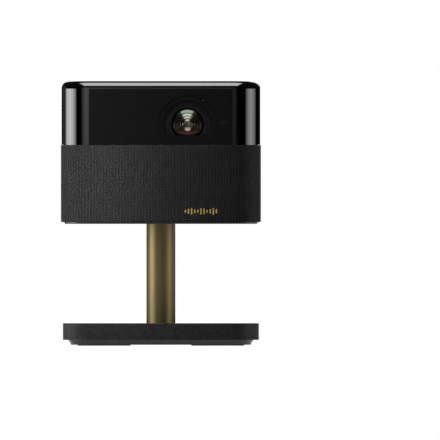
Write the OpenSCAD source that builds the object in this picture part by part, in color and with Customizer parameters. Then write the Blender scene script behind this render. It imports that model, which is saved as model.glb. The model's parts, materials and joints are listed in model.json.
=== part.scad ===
// Home projector on a pole stand.
// A weighted base carries a column that swivels on it, and the projector head tilts on the column's top.
// Millimetres, +Z up, and the lens looks along -Y. The origin is on the floor, on the column's axis.

/* [Overall] */
// Height of the whole projector, from the floor to the top of the head
total_h = 265; // [262:1:268]
// Width across the fabric sleeve, the widest part
sleeve_w = 200; // [198:1:204]
// Depth of the head's gloss upper shell
shell_d = 192; // [190:1:196]

/* [Base] */
// Width of the base slab
base_w = 196; // [190:1:200]
// Depth of the base slab
base_d = 188; // [184:1:192]
// Corner radius of the base slab, in plan
base_r = 28; // [24:1:34]
// Thickness of the base slab, above its inset plate
slab_h = 16.7; // [16.5:0.1:17.5]
// Wall thickness of the base cover
base_wall = 3; // [2.8:0.1:3]
// Height of the inset plate under the slab
plate_h = 4.9; // [4.8:0.1:5.2]
// How far the feet stand below the inset plate
foot_h = 0.9; // [0.8:0.1:1.2]

/* [Column] */
// Outside diameter of the column tube
column_d = 29; // [28.6:0.1:29.2]
// Wall thickness of the column tube
column_wall = 2; // [1.8:0.1:2.2]
// Length of tube that shows between the base and the head
column_gap = 99.3; // [96:0.1:101]
// Height of the tilt axis above the bottom of the head
pivot_rise = 30.2; // [30:0.1:30.6]
// Diameter of the tilt shaft
shaft_d = 10; // [9.8:0.1:10.2]

/* [Head] */
// How far the fabric sleeve stands proud of the gloss shell
sleeve_proud = 0.7; // [0.6:0.1:0.9]
// Height of the gloss upper shell
shell_h = 64.2; // [64:0.1:65]
// Corner radius of the gloss shell, in plan
shell_r = 27; // [26:0.5:28]
// Radius of the gloss shell's rounded top edge
top_fillet = 8; // [7:0.5:8.5]
// Wall thickness of the gloss shell
shell_wall = 2.5; // [2.2:0.1:2.6]
// Thickness of the fabric sleeve
fabric_t = 1.2; // [1:0.1:1.3]
// Height of the bottom cover that shows under the sleeve
lip_h = 1.6; // [1.4:0.1:2]

/* [Lens and window] */
// Sideways place of the lens axis
lens_x = 26.6; // [25:0.1:28]
// Height of the lens axis above the sleeve's top edge
lens_rise = 20.8; // [20.5:0.1:21.5]
// Radius of the D-shaped recess around the lens
recess_r = 29.1; // [28.6:0.1:29.4]
// Radius of the recess's inner step
inner_step_r = 22.9; // [22.5:0.1:23.2]
// Radius of the lens that shows
lens_r = 16; // [15.6:0.1:16.2]

/* [Rear] */
// Width of the rear connector panel
rear_panel_w = 119.2; // [118:0.1:120]
// Width of the slot that the column swings through
slot_w = 34.6; // [34.4:0.1:35]
// Width of the rear air grille
grille_w = 140; // [138:1:141]
// Number of slots in the rear air grille
grille_slots = 22; // [12:1:22]

/* [Hidden] */

$fn = 96;
// How far a cutter runs past the face that it cuts
cut = 1;
// Running clearance of a shaft in its bore
running = 0.05;
// Gap between pieces that lie side by side
gap = 0.2;
// Gap between pieces that move past each other
clear = 0.3;

// Base levels
plate_z = foot_h;
slab_z = plate_z + plate_h;
base_top = slab_z + slab_h;
cover_under = base_top - base_wall;
plate_inset = 5.2;
plate_flare = 3;
plate_edge_r = 12;
plate_w = base_w - 2 * plate_inset;
plate_d = base_d - 2 * plate_inset;
plate_r = base_r - plate_inset;
base_fillet = 0.7;
foot_len = 54;
foot_depth = 12;
foot_sink = 1;
foot_slope = 0.8;
foot_edge_inset = 11.5;
foot_x = 56.8;
foot_y = plate_d / 2 - plate_flare - foot_edge_inset;
base_screw_x = 60;
base_screw_y = 46;
boss_r = 4;
screw_r = 1.5;
screw_head_r = 3;
screw_head_h = 1.8;
screw_slot_len = 1.2 * screw_head_r;
screw_slot_w = 0.7;
base_screw_len = 12;
plate_recess = [90, 80, 20];
plate_recess_h = 2;

// Swivel bearing
journal_r = 9;
bush_r = 12;
bush_flange_r = 21;
bush_flange_h = 1.2;
spigot_flange_r = 20.5;
spigot_flange_h = 3;
spigot_plug_h = 28;
retainer_r = 15;
retainer_h = 1.6;
ballast_z = slab_z + gap;
ballast_h = cover_under - clear - ballast_z;
retainer_z = slab_z + 3 * gap;
bush_z = retainer_z + retainer_h + gap;
spigot_flange_z = cover_under - clear - spigot_flange_h;
bush_top = spigot_flange_z - gap / 2;

// Column and tilt hinge
column_r = column_d / 2;
column_bore = column_r - column_wall;
head_z = base_top + column_gap;
pivot_z = head_z + pivot_rise;
shaft_r = shaft_d / 2;
tube_z = cover_under - clear;
knuckle_rise = 18;
tube_top = pivot_z - knuckle_rise;
knuckle_w = 20;
knuckle_collar_h = 2;
knuckle_r = 12.5;
knuckle_plug_h = 24;
knuckle_waist = 2;
washer_r = 11;
washer_t = 2;
washers_a_side = 3;
washer_gap = 0.1;
slot_r = slot_w / 2;
pocket_wall = 2;
bracket_t = 3.2;
bracket_depth = 28;
bracket_foot = 11;
bracket_x = slot_r + pocket_wall + gap;
nut_x = bracket_x + bracket_t + clear;
nut_h = 4.5;
nut_r = 8.5;
shaft_half = nut_x + nut_h + 1;

// Head levels and widths
head_top = total_h;
split_z = head_top - shell_h;
sleeve_z = head_z + lip_h;
sleeve_top = split_z - gap;
shell_w = sleeve_w - 2 * sleeve_proud;
sleeve_d = shell_d + 2 * sleeve_proud;
sleeve_r = shell_r + sleeve_proud;
sleeve_fillet = 1.5;
frame_wall = 2.5;
frame_w = sleeve_w - 2 * fabric_t - 2 * gap;
frame_d = sleeve_d - 2 * fabric_t - 2 * gap;
frame_r = sleeve_r - fabric_t - gap;
frame_ledge = 8;
frame_ledge_h = 2.4;
frame_boss_x = frame_w / 2 - 12.6;
frame_boss_y = frame_d / 2 - 15.3;
frame_screw_len = 14;
frame_screw_hole = 16;
cover_inset = 3.6;
cover_w = sleeve_w - 2 * cover_inset;
cover_d = sleeve_d - 2 * cover_inset;
cover_r = sleeve_r - cover_inset;
cover_h = 3;
cover_fillet = 0.8;
cover_slots = 8;
cover_slot_x = 60;
cover_slot_y = -34;
cover_slot_pitch = 9;
cover_slot_len = 34;
cover_slot_w = 3;
frame_z = head_z + cover_h + gap;
frame_top = split_z - 2 * gap;
front_y = -shell_d / 2;
rear_y = shell_d / 2;

// Window, lens recess and lens
window_t = 2.5;
window_margin = 0.3;
window_half = shell_w / 2 - shell_r - window_margin;
window_top = head_top - top_fillet - window_margin;
window_gap = 0.15;
lens_z = split_z + lens_rise;
recess_z = lens_z - 0.9;
recess_flat = 14.8;
groove_r = 25;
groove_flat = 12.3;
inner_step_flat = 10.1;
lens_flat = 11.2;
bezel_sink = 0.8;
groove_sink = 2.4;
step_sink = 4.4;
bezel_floor = 2;
bezel_depth = 7.6;
glass_dome = 26;
glass_sink = 1;
glass_y = front_y + glass_sink;
glass_flange_r = lens_r + 1.5;
glass_flange_h = 4;
glass_flange_y = front_y + bezel_depth + 2 * gap;
sensor_x = 62.9;
sensor_w = 7.8;
sensor_h = 3.8;
sensor_corner_r = 0.9;
sensor_z = lens_z + 1.8;
sensor_r = 1.5;
sensor_depth = 3;
sensor_board = [12, 10];

// Focus drive
barrel_r = 19;
barrel_bore = 16.5;
barrel_front = glass_flange_y + 4 * gap;
barrel_back = front_y + 50;
barrel_collar_r = 20.6;
barrel_collar_h = 12;
rear_lens_h = 5;
gear_module = 1;
ring_teeth = 44;
pinion_teeth = 14;
pressure_angle = 20;
gear_backlash = 0.16;
gear_h = 8;
gear_y = front_y + 34;
ring_bore = barrel_r + running;
gear_distance = gear_module * (ring_teeth + pinion_teeth) / 2 + running;
pinion_x = lens_x + gear_distance;
motor_r = 7.5;
motor_h = 14;
motor_ear_t = 1.2;
motor_ear = 4;
motor_y = gear_y + 2;
pinion_shaft_r = 1.5;
pinion_shaft_len = 8;
cell_r = barrel_bore - running;
cell_bore = 13.5;
cell_h = 10;
focus_curve = 30;
cell_y = front_y + 36;

// Optical engine and cooling
engine_back = front_y + 110;
engine_w = 54;
engine_wall = 2.5;
engine_front = barrel_back + 1;
engine_z = split_z - 1.8;
engine_h = 46;
prism_size = 24;
prism_y = engine_front + 20;
chip_plate = [28, 24];
chip_face = [16, 10];
laser_w = 51;
laser_depth = 44;
laser_h = 38;
laser_port_r = 8.7;
sink_w = 56;
sink_depth = 64;
sink_h = 50;
sink_base = 5;
sink_gap = 3;
fin_t = 1.2;
fins = 13;
fan_size = 56;
fan_depth = 15;
fan_x = 34;
fan_z = split_z + 28.4;
fan_y = rear_y - 7;
fan_bore = 26;
fan_hub_r = 11;
fan_tip_r = 25;
fan_blades = 9;
blade_t = 1.2;
blade_pitch = 38;
strut_h = 2;

// Rear panel, sockets and keys
panel_t = 3;
panel_y = rear_y + 0.4;
panel_in = panel_y - panel_t;
panel_top = split_z - gap;
slot_top = pivot_z + slot_r;
port_x = 39;
hdmi_z = head_z + 60.2;
usb_z = head_z + 46.2;
jack_z = head_z + 32.2;
dc_z = head_z + 18.2;
hdmi_size = [15.2, 5.8];
hdmi_hole = [14.2, 4.8];
usb_size = [14.4, 7.2];
usb_hole = [13.2, 5.8];
socket_back = panel_in - 11;
socket_corner_r = 0.8;
socket_floor = 2;
jack_len = 12;
jack_body = 9;
dc_body = 12;
jack_r = 1.8;
jack_nose_r = 3.4;
dc_bore_r = 3.1;
dc_nose_r = 5.2;
dc_pin_r = 1;
key_proud = 0.6;
key_x = -39;
power_z = head_z + 26.2;
power_r = 7;
volume_size = [13, 6];
volume_down_z = head_z + 46.2;
volume_up_z = head_z + 58.2;
key_flange = 1.2;
led_r = 1.3;
led_tail = 2;
led_sink = 0.1;
led_z = power_z + 12;
board_t = 1.6;
main_board_w = 160;
main_board_depth = 130;
main_board_y = -70;
main_board_z = split_z - 10.8;
power_board_w = 100;
power_board_depth = 54;
power_board_y = -84;
power_board_z = frame_z + 9;
transformer = [26, 24, 20];
transformer_x = 10;
transformer_y = 8;
capacitor_r = 6;
capacitor_y = 20;
capacitor_h = 18;
capacitors = 3;
rear_board_w = 32;
key_board_w = 28;
key_board_depth = 8;
rear_board_h = 66;
rear_board_z = frame_z + 4;
switch_size = 5;
grille_z = split_z + 28.4;
grille_h = 46;
grille_slot_w = 3;
grille_r = 6;
grille_rim = 4;

// Speakers
speaker_y = -15;
speaker_z = head_z + 38;
speaker_r = 30;
speaker_depth = 22;
speaker_face = frame_w / 2 - frame_wall - 0.3;
cone_r = 25.6;
cone_throat_r = 9;
dust_cap_h = 5;
coil_len = 5;
cone_depth = 12;
cone_t = 0.8;
magnet_r = 17;
magnet_h = 11;
vent_slots = 7;
vent_slot_w = 4;
vent_slot_h = 44;
vent_pitch = 7;

// A rectangle with round corners.
module rounded_plan(w, d, r) {
    square([w - 2 * r, d], center = true);
    square([w, d - 2 * r], center = true);
    for (sx = [-1, 1], sy = [-1, 1])
        translate([sx * (w / 2 - r), sy * (d / 2 - r)])
            circle(r);
}

// A slot with two round ends, w long and h high.
module round_slot(w, h) {
    square([w - h, h], center = true);
    for (side = [-1, 1])
        translate([side * (w - h) / 2, 0])
            circle(h / 2);
}

// A block with a round-cornered plan. Its child is the outline of its edge, from the corner's axis outwards.
module edge_block(w, d, r, h) {
    flat_w = w - 2 * r;
    flat_d = d - 2 * r;
    translate([-flat_w / 2, -flat_d / 2, 0])
        cube([flat_w, flat_d, h]);
    for (turn = [0, 180]) {
        rotate(turn)
            edge_corner(flat_w, flat_d)
                children();
        rotate(turn + 90)
            edge_corner(flat_d, flat_w)
                children();
    }
}

// One side of such a block, and the corner at its end.
module edge_corner(flat_w, flat_d) {
    translate([flat_w / 2, flat_d / 2, 0])
        rotate([90, 0, 0])
            linear_extrude(flat_d)
                children();
    translate([flat_w / 2, flat_d / 2, 0])
        rotate_extrude(angle = 90)
            children();
}

// Edge outline with a round top.
module round_edge(r, h, fillet) {
    square([r, h - fillet]);
    square([r - fillet, h]);
    translate([r - fillet, h - fillet])
        circle(fillet);
}

// Edge outline that flares outwards and up in a shallow hollow curve.
module flared_edge(r, h, flare, curve_r) {
    chord = sqrt(flare * flare + h * h);
    reach = sqrt(curve_r * curve_r - chord * chord / 4);
    difference() {
        polygon([[0, 0], [r - flare, 0], [r, h], [0, h]]);
        translate([r - flare / 2 + reach * h / chord, h / 2 - reach * flare / chord])
            circle(curve_r);
    }
}

// Edge outline that slopes in towards the bottom.
module sloped_edge(r, h, slope) {
    polygon([[0, 0], [r - slope, 0], [r, h], [0, h]]);
}

// Draws its outline in the XZ plane and gives it depth, from y_front to y_back.
module upright(x, z, y_front, y_back) {
    translate([x, y_back, z])
        rotate([90, 0, 0])
            linear_extrude(y_back - y_front)
                children();
}

// A solid of revolution about an axis along Y, with its outline's height running from y_front backwards.
module turned(x, z, y_front) {
    translate([x, y_front, z])
        rotate([-90, 0, 0])
            rotate_extrude()
                children();
}

// A cylinder along X between two places.
module across(x_from, x_to, y, z, r) {
    translate([x_from, y, z])
        rotate([0, 90, 0])
            cylinder(h = x_to - x_from, r = r);
}

// A circle with a flat cut across it below its centre.
module d_outline(r, flat) {
    intersection() {
        circle(r);
        translate([-r, -flat])
            square([2 * r, r + flat]);
    }
}

// Repeats its child at the four corners of a rectangle.
module four_corners(x, y) {
    for (sx = [-1, 1], sy = [-1, 1])
        translate([sx * x, sy * y, 0])
            children();
}

// Repeats its child on the left and on the right.
module both_sides() {
    children();
    mirror([1, 0, 0])
        children();
}

// A countersunk screw that points up, with the top of its head at z = 0.
module screw(length) {
    translate([0, 0, screw_head_h])
        cylinder(h = length - screw_head_h, r = screw_r);
    difference() {
        cylinder(h = screw_head_h, r1 = screw_head_r, r2 = screw_r);
        for (turn = [0, 90])
            rotate(turn)
                translate([0, 0, screw_head_h / 4 - cut / 2])
                    cube([screw_slot_len, screw_slot_w, screw_head_h / 2 + cut], center = true);
    }
}

// The hole for that screw.
module screw_hole(length) {
    translate([0, 0, -cut])
        cylinder(h = length + cut, r = screw_r + gap);
    translate([0, 0, -gap])
        cylinder(h = screw_head_h, r1 = screw_head_r + gap, r2 = screw_r + gap);
    translate([0, 0, -gap - cut])
        cylinder(h = cut + gap / 2, r = screw_head_r + gap);
}

// Textured slab that hides the ballast.
module base_cover() {
    color([0.09, 0.09, 0.09])
    difference() {
        union() {
            difference() {
                translate([0, 0, slab_z])
                    edge_block(base_w, base_d, base_r, slab_h)
                        round_edge(base_r, slab_h, base_fillet);
                translate([0, 0, slab_z - cut])
                    linear_extrude(slab_h - base_wall + cut)
                        rounded_plan(base_w - 2 * base_wall, base_d - 2 * base_wall, base_r - base_wall);
            }
            four_corners(base_screw_x, base_screw_y)
                translate([0, 0, slab_z + gap])
                    cylinder(h = slab_h - base_wall / 2 - gap, r = boss_r);
        }
        translate([0, 0, cover_under - cut])
            cylinder(h = base_wall + 2 * cut, r = column_r + clear);
        four_corners(base_screw_x, base_screw_y)
            translate([0, 0, slab_z])
                cylinder(h = slab_h - base_wall, r = screw_r + running);
    }
}

// Steel weight that keeps the stand upright.
module base_ballast() {
    inset = base_wall + clear + gap;
    color("dimgray")
    difference() {
        translate([0, 0, ballast_z])
            linear_extrude(ballast_h)
                rounded_plan(base_w - 2 * inset, base_d - 2 * inset, base_r - inset);
        translate([0, 0, ballast_z - cut])
            cylinder(h = ballast_h + 2 * cut, r = bush_r + running);
        translate([0, 0, ballast_z - cut])
            cylinder(h = bush_z - ballast_z + cut, r = retainer_r + 1);
        translate([0, 0, bush_top - bush_flange_h])
            cylinder(h = ballast_h, r = bush_flange_r + clear);
        four_corners(base_screw_x, base_screw_y)
            translate([0, 0, ballast_z - cut])
                cylinder(h = ballast_h + 2 * cut, r = boss_r + 1);
    }
}

// Inset plate that closes the base from below.
module base_plate() {
    color([0.14, 0.14, 0.14])
    difference() {
        translate([0, 0, plate_z])
            edge_block(plate_w, plate_d, plate_r, plate_h)
                flared_edge(plate_r, plate_h, plate_flare, plate_edge_r);
        four_corners(foot_x, foot_y)
            translate([0, 0, plate_z - cut])
                linear_extrude(foot_sink + cut)
                    rounded_plan(foot_len + 2 * gap, foot_depth + 2 * gap, foot_depth / 2 - 1);
        four_corners(base_screw_x, base_screw_y)
            translate([0, 0, plate_z + gap])
                screw_hole(plate_h + cut);
        translate([0, 0, slab_z - plate_recess_h])
            linear_extrude(plate_recess_h + cut)
                rounded_plan(plate_recess[0], plate_recess[1], plate_recess[2]);
    }
}

// Four rubber feet.
module feet() {
    foot_r = foot_depth / 2 - 1;
    color([0.1, 0.1, 0.1])
    four_corners(foot_x, foot_y)
        edge_block(foot_len, foot_depth, foot_r, foot_h + foot_sink)
            sloped_edge(foot_r, foot_h + foot_sink, foot_slope);
}

// Screws that hold the inset plate to the cover.
module base_screws() {
    color("gray")
    four_corners(base_screw_x, base_screw_y)
        translate([0, 0, plate_z + gap])
            screw(base_screw_len);
}

// Flanged bush that the column turns in.
module swivel_bush() {
    color("ivory")
    difference() {
        union() {
            translate([0, 0, bush_z])
                cylinder(h = bush_top - bush_z, r = bush_r);
            translate([0, 0, bush_top - bush_flange_h])
                cylinder(h = bush_flange_h, r = bush_flange_r);
        }
        translate([0, 0, bush_z - cut])
            cylinder(h = bush_top - bush_z + 2 * cut, r = journal_r + running);
    }
}

// Champagne-coloured metal column.
module column_tube() {
    color([0.6, 0.53, 0.38])
    translate([0, 0, tube_z])
        difference() {
            cylinder(h = tube_top - tube_z, r = column_r);
            translate([0, 0, -cut])
                cylinder(h = tube_top - tube_z + 2 * cut, r = column_bore);
        }
}

// Turned steel foot of the column, with the journal that runs in the bush.
module column_spigot() {
    color("silver")
    union() {
        translate([0, 0, tube_z])
            cylinder(h = spigot_plug_h, r = column_bore - running);
        translate([0, 0, spigot_flange_z])
            cylinder(h = spigot_flange_h, r = spigot_flange_r);
        translate([0, 0, retainer_z])
            cylinder(h = spigot_flange_z - retainer_z, r = journal_r);
    }
}

// Ring on the journal's end that keeps the column from lifting out.
module swivel_retainer() {
    color("darkgray")
    translate([0, 0, retainer_z])
        difference() {
            cylinder(h = retainer_h, r = retainer_r);
            translate([0, 0, -cut])
                cylinder(h = retainer_h + 2 * cut, r = journal_r + running / 2);
        }
}

// Knuckle pressed into the column's top, which the tilt shaft runs through.
module hinge_knuckle() {
    color("gray")
    difference() {
        union() {
            translate([0, 0, tube_top - knuckle_plug_h])
                cylinder(h = knuckle_plug_h + cut, r = column_bore - running);
            translate([0, 0, tube_top])
                cylinder(h = knuckle_collar_h, r = column_r);
            translate([-knuckle_w / 2, -knuckle_r + knuckle_waist, tube_top + knuckle_collar_h / 2])
                cube([knuckle_w, 2 * (knuckle_r - knuckle_waist), knuckle_rise - knuckle_collar_h / 2]);
            across(-knuckle_w / 2, knuckle_w / 2, 0, pivot_z, knuckle_r);
        }
        across(-knuckle_w / 2 - cut, knuckle_w / 2 + cut, 0, pivot_z, shaft_r + running / 2);
    }
}

// Shaft that the head tilts about.
module tilt_shaft() {
    color("silver")
    across(-shaft_half, shaft_half, 0, pivot_z, shaft_r);
}

// Friction washers that hold the head where it is put.
module friction_washers() {
    color([0.5, 0.4, 0.25])
    both_sides()
        for (i = [0 : washers_a_side - 1]) {
            x = knuckle_w / 2 + washer_gap + i * (washer_t + washer_gap);
            difference() {
                across(x, x + washer_t, 0, pivot_z, washer_r - i % 2);
                across(x - cut, x + washer_t + cut, 0, pivot_z, shaft_r + running / 2);
            }
        }
}

// Nuts on the ends of the tilt shaft.
module shaft_nuts() {
    color("silver")
    both_sides()
        difference() {
            translate([nut_x, 0, pivot_z])
                rotate([0, 90, 0])
                    cylinder(h = nut_h, r = nut_r, $fn = 6);
            across(nut_x - cut, nut_x + nut_h + cut, 0, pivot_z, shaft_r + running / 2);
        }
}

// Gloss black cover of the head's upper half.
module upper_shell() {
    inner_r = shell_r - shell_wall;
    inner_fillet = top_fillet - shell_wall;
    inner_h = shell_h - shell_wall;
    color([0.02, 0.02, 0.02])
    difference() {
        translate([0, 0, split_z])
            edge_block(shell_w, shell_d, shell_r, shell_h)
                round_edge(shell_r, shell_h, top_fillet);
        translate([0, 0, split_z - cut])
            edge_block(shell_w - 2 * shell_wall, shell_d - 2 * shell_wall, inner_r, inner_h + cut)
                round_edge(inner_r, inner_h + cut, inner_fillet);
        translate([-window_half, front_y - cut, split_z - cut])
            cube([2 * window_half, shell_wall + 2 * cut, window_top - split_z + cut]);
        upright(0, grille_z, rear_y - shell_wall - cut, rear_y + cut)
            rounded_plan(grille_w, grille_h, grille_r);
    }
}

// Satin black window in the front of the head.
module front_window() {
    height = window_top - split_z - 2 * window_gap;
    color([0.06, 0.06, 0.06])
    difference() {
        translate([-window_half + window_gap, front_y, split_z + window_gap])
            cube([2 * (window_half - window_gap), window_t, height]);
        upright(lens_x, recess_z, front_y - cut, front_y + window_t + cut)
            d_outline(recess_r + window_gap, recess_flat + window_gap);
        upright(sensor_x, sensor_z, front_y - cut, front_y + window_t + cut)
            rounded_plan(sensor_w + 2 * window_gap, sensor_h + 2 * window_gap, 1);
    }
}

// Stepped D-shaped surround of the lens.
module lens_bezel() {
    bezel_front = front_y + bezel_sink;
    color([0.04, 0.04, 0.04])
    difference() {
        upright(lens_x, recess_z, bezel_front, front_y + bezel_depth)
            d_outline(recess_r, recess_flat);
        upright(lens_x, recess_z, bezel_front - cut, front_y + groove_sink)
            d_outline(groove_r, groove_flat);
        upright(lens_x, recess_z, bezel_front - cut, front_y + step_sink)
            d_outline(inner_step_r, inner_step_flat);
        upright(lens_x, lens_z, bezel_front - cut, front_y + bezel_depth + cut)
            d_outline(lens_r + clear, lens_flat);
        upright(lens_x, lens_z, front_y + step_sink + bezel_floor, front_y + bezel_depth + cut)
            circle(barrel_collar_r + gap);
    }
}

// Domed front element of the projection lens, cut flat below as its opening is, with a round flange.
module front_glass() {
    color([0.35, 0.4, 0.38, 0.5])
    intersection() {
        union() {
            upright(lens_x, lens_z, glass_y, glass_flange_y + cut)
                d_outline(lens_r, lens_flat - clear);
            turned(lens_x, lens_z, glass_flange_y)
                square([glass_flange_r, glass_flange_h]);
        }
        translate([lens_x, glass_y + glass_dome, lens_z])
            sphere(glass_dome);
    }
}

// Small window of the distance and focus sensor.
module sensor_window() {
    color([0.12, 0.1, 0.1])
    upright(sensor_x, sensor_z, front_y + gap, front_y + window_t)
        rounded_plan(sensor_w, sensor_h, sensor_corner_r);
}

// Sensor behind that window.
module sensor_module() {
    sensor_front = front_y + window_t + gap;
    color("darkgreen")
    union() {
        translate([sensor_x - sensor_board[0] / 2, sensor_front + sensor_depth, sensor_z - sensor_board[1] / 2])
            cube([sensor_board[0], board_t, sensor_board[1]]);
        for (side = [-1, 1])
            turned(sensor_x + side * (sensor_r + 0.5), sensor_z, sensor_front)
                square([sensor_r, sensor_depth + board_t / 2]);
    }
}

// Woven cover around the head's lower half, open at the rear panel.
module fabric_sleeve() {
    sleeve_h = sleeve_top - sleeve_z;
    inner_w = sleeve_w - 2 * fabric_t;
    inner_d = sleeve_d - 2 * fabric_t;
    color([0.13, 0.13, 0.13])
    difference() {
        translate([0, 0, sleeve_top])
            mirror([0, 0, 1])
                edge_block(sleeve_w, sleeve_d, sleeve_r, sleeve_h)
                    round_edge(sleeve_r, sleeve_h, sleeve_fillet);
        translate([0, 0, sleeve_z - cut])
            linear_extrude(sleeve_h + 2 * cut)
                rounded_plan(inner_w, inner_d, sleeve_r - fabric_t);
        translate([-rear_panel_w / 2 - gap, 0, sleeve_z - cut])
            cube([rear_panel_w + 2 * gap, sleeve_d, sleeve_h + 2 * cut]);
    }
}

// Small gold badge: a plain row of bars like a sound level display.
module accent_badge() {
    bar_w = 1.5;
    bar_proud = 0.5;
    bar_pitch = 3.1;
    bars = 11;
    badge_x = 40;
    badge_z = head_z + 12.6;
    shortest = 2.6;
    swing = 2.1;
    phase = 100;
    color([0.65, 0.53, 0.25])
    for (i = [0 : bars - 1])
        upright(badge_x + (i - (bars - 1) / 2) * bar_pitch, badge_z,
                front_y - sleeve_proud - bar_proud, front_y - sleeve_proud)
            rounded_plan(bar_w, shortest + swing * (1 - cos(i * phase)), 0.6);
}

// Rigid frame behind the fabric, which carries the speakers and the upper shell.
module lower_frame() {
    frame_h = frame_top - frame_z;
    color([0.2, 0.2, 0.2])
    difference() {
        translate([0, 0, frame_z])
            union() {
                linear_extrude(frame_h)
                    difference() {
                        rounded_plan(frame_w, frame_d, frame_r);
                        rounded_plan(frame_w - 2 * frame_wall, frame_d - 2 * frame_wall, frame_r - frame_wall);
                    }
                translate([0, 0, frame_h - frame_ledge_h])
                    linear_extrude(frame_ledge_h)
                        difference() {
                            rounded_plan(frame_w - 1, frame_d - 1, frame_r - 0.5);
                            rounded_plan(frame_w - 2 * frame_ledge, frame_d - 2 * frame_ledge,
                                         frame_r - frame_ledge);
                        }
                four_corners(frame_boss_x, frame_boss_y)
                    cylinder(h = frame_h - frame_ledge_h / 2, r = boss_r);
            }
        translate([-rear_panel_w / 2 - gap, 0, frame_z - cut])
            cube([rear_panel_w + 2 * gap, frame_d, frame_h + 2 * cut]);
        four_corners(frame_boss_x, frame_boss_y)
            translate([0, 0, frame_z - cut])
                cylinder(h = frame_screw_hole, r = screw_r + running);
        for (i = [0 : vent_slots - 1])
            translate([-frame_w / 2 - cut, speaker_y + (i - (vent_slots - 1) / 2) * vent_pitch - vent_slot_w / 2,
                       speaker_z - vent_slot_h / 2])
                cube([frame_w + 2 * cut, vent_slot_w, vent_slot_h]);
    }
}

// Inset cover under the head, with the slot for the column.
module bottom_cover() {
    color([0.08, 0.08, 0.08])
    difference() {
        translate([0, 0, head_z + cover_h])
            mirror([0, 0, 1])
                edge_block(cover_w, cover_d, cover_r, cover_h)
                    round_edge(cover_r, cover_h, cover_fillet);
        translate([0, 0, head_z - cut])
            linear_extrude(cover_h + 2 * cut) {
                circle(slot_r);
                translate([-slot_r, 0])
                    square([slot_w, cover_d]);
            }
        four_corners(frame_boss_x, frame_boss_y)
            translate([0, 0, head_z + gap])
                screw_hole(cover_h + cut);
        both_sides()
            for (i = [0 : cover_slots - 1])
                translate([cover_slot_x, cover_slot_y + cover_slot_pitch * i, head_z - cut])
                    linear_extrude(cover_h + 2 * cut)
                        round_slot(cover_slot_len, cover_slot_w);
    }
}

// Screws that hold the bottom cover to the frame.
module bottom_screws() {
    color("gray")
    four_corners(frame_boss_x, frame_boss_y)
        translate([0, 0, head_z + gap])
            screw(frame_screw_len);
}

// Liner of the slot that the column swings through as the head tilts.
module hinge_pocket() {
    outer = slot_r + pocket_wall;
    color([0.1, 0.1, 0.1])
    difference() {
        translate([-outer, -outer, frame_z])
            cube([2 * outer, outer + panel_in - gap, slot_top + pocket_wall - frame_z]);
        translate([-slot_r, -slot_r, frame_z - cut])
            cube([slot_w, slot_r + panel_in + cut, slot_top - frame_z + cut]);
        across(-outer - cut, outer + cut, 0, pivot_z, shaft_r + 2 * clear);
    }
}

// Steel brackets that carry the head on the tilt shaft.
module tilt_brackets() {
    bracket_z = frame_z + 1;
    color("lightslategray")
    both_sides()
        difference() {
            union() {
                translate([bracket_x, -bracket_depth / 2, bracket_z])
                    cube([bracket_t, bracket_depth, pivot_z - bracket_z]);
                across(bracket_x, bracket_x + bracket_t, 0, pivot_z, bracket_depth / 2);
                translate([bracket_x, -bracket_depth / 2, bracket_z])
                    cube([bracket_t + bracket_foot, bracket_depth, bracket_t]);
            }
            across(bracket_x - cut, bracket_x + bracket_t + cut, 0, pivot_z, shaft_r + running);
            for (sy = [-1, 1])
                translate([bracket_x + bracket_t + bracket_foot / 2, sy * bracket_depth / 4, bracket_z - cut])
                    cylinder(h = bracket_t + 2 * cut, r = screw_r + gap);
        }
}

// Satin connector panel at the back, with the rest of the column's slot.
module rear_panel() {
    panel_h = panel_top - sleeve_z;
    color([0.1, 0.1, 0.1])
    difference() {
        translate([-rear_panel_w / 2, panel_in, sleeve_z])
            cube([rear_panel_w, panel_t, panel_h]);
        translate([-slot_r, panel_in - cut, sleeve_z - cut])
            cube([slot_w, panel_t + 2 * cut, pivot_z - sleeve_z + cut]);
        upright(0, pivot_z, panel_in - cut, panel_y + cut)
            circle(slot_r);
        upright(port_x, hdmi_z, panel_in - cut, panel_y + cut)
            rounded_plan(hdmi_size[0] + 2 * gap, hdmi_size[1] + 2 * gap, 1);
        upright(port_x, usb_z, panel_in - cut, panel_y + cut)
            rounded_plan(usb_size[0] + 2 * gap, usb_size[1] + 2 * gap, 1);
        upright(port_x, jack_z, panel_in - cut, panel_y + cut)
            circle(jack_nose_r + gap);
        upright(port_x, dc_z, panel_in - cut, panel_y + cut)
            circle(dc_nose_r + gap);
        upright(key_x, power_z, panel_in - cut, panel_y + cut)
            circle(power_r + clear);
        for (z = [volume_down_z, volume_up_z])
            upright(key_x, z, panel_in - cut, panel_y + cut)
                round_slot(volume_size[0] + 2 * clear, volume_size[1] + 2 * clear);
        upright(key_x, led_z, panel_in - cut, panel_y + cut)
            circle(led_r + gap);
    }
}

// Air grille at the back of the gloss shell.
module rear_grille() {
    pitch = (grille_w - 2 * grille_r) / grille_slots;
    color([0.07, 0.07, 0.07])
    upright(0, grille_z, rear_y - shell_wall, rear_y)
        difference() {
            rounded_plan(grille_w - 2 * gap, grille_h - 2 * gap, grille_r - gap);
            for (i = [0 : grille_slots - 1])
                translate([(i - (grille_slots - 1) / 2) * pitch, 0])
                    rotate(90)
                        round_slot(grille_h - 2 * grille_rim, grille_slot_w);
        }
}

// Tube that holds the lenses and guides the focus ring.
module lens_barrel() {
    color([0.15, 0.15, 0.15])
    difference() {
        union() {
            turned(lens_x, lens_z, barrel_front)
                square([barrel_collar_r, barrel_collar_h]);
            turned(lens_x, lens_z, barrel_front)
                square([barrel_r, barrel_back - barrel_front]);
        }
        turned(lens_x, lens_z, barrel_front - cut)
            square([barrel_bore, barrel_back - barrel_front + 2 * cut]);
        turned(lens_x, lens_z, barrel_front - cut)
            square([glass_flange_r + running, glass_flange_y + glass_flange_h + gap - barrel_front + cut]);
    }
}

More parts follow.
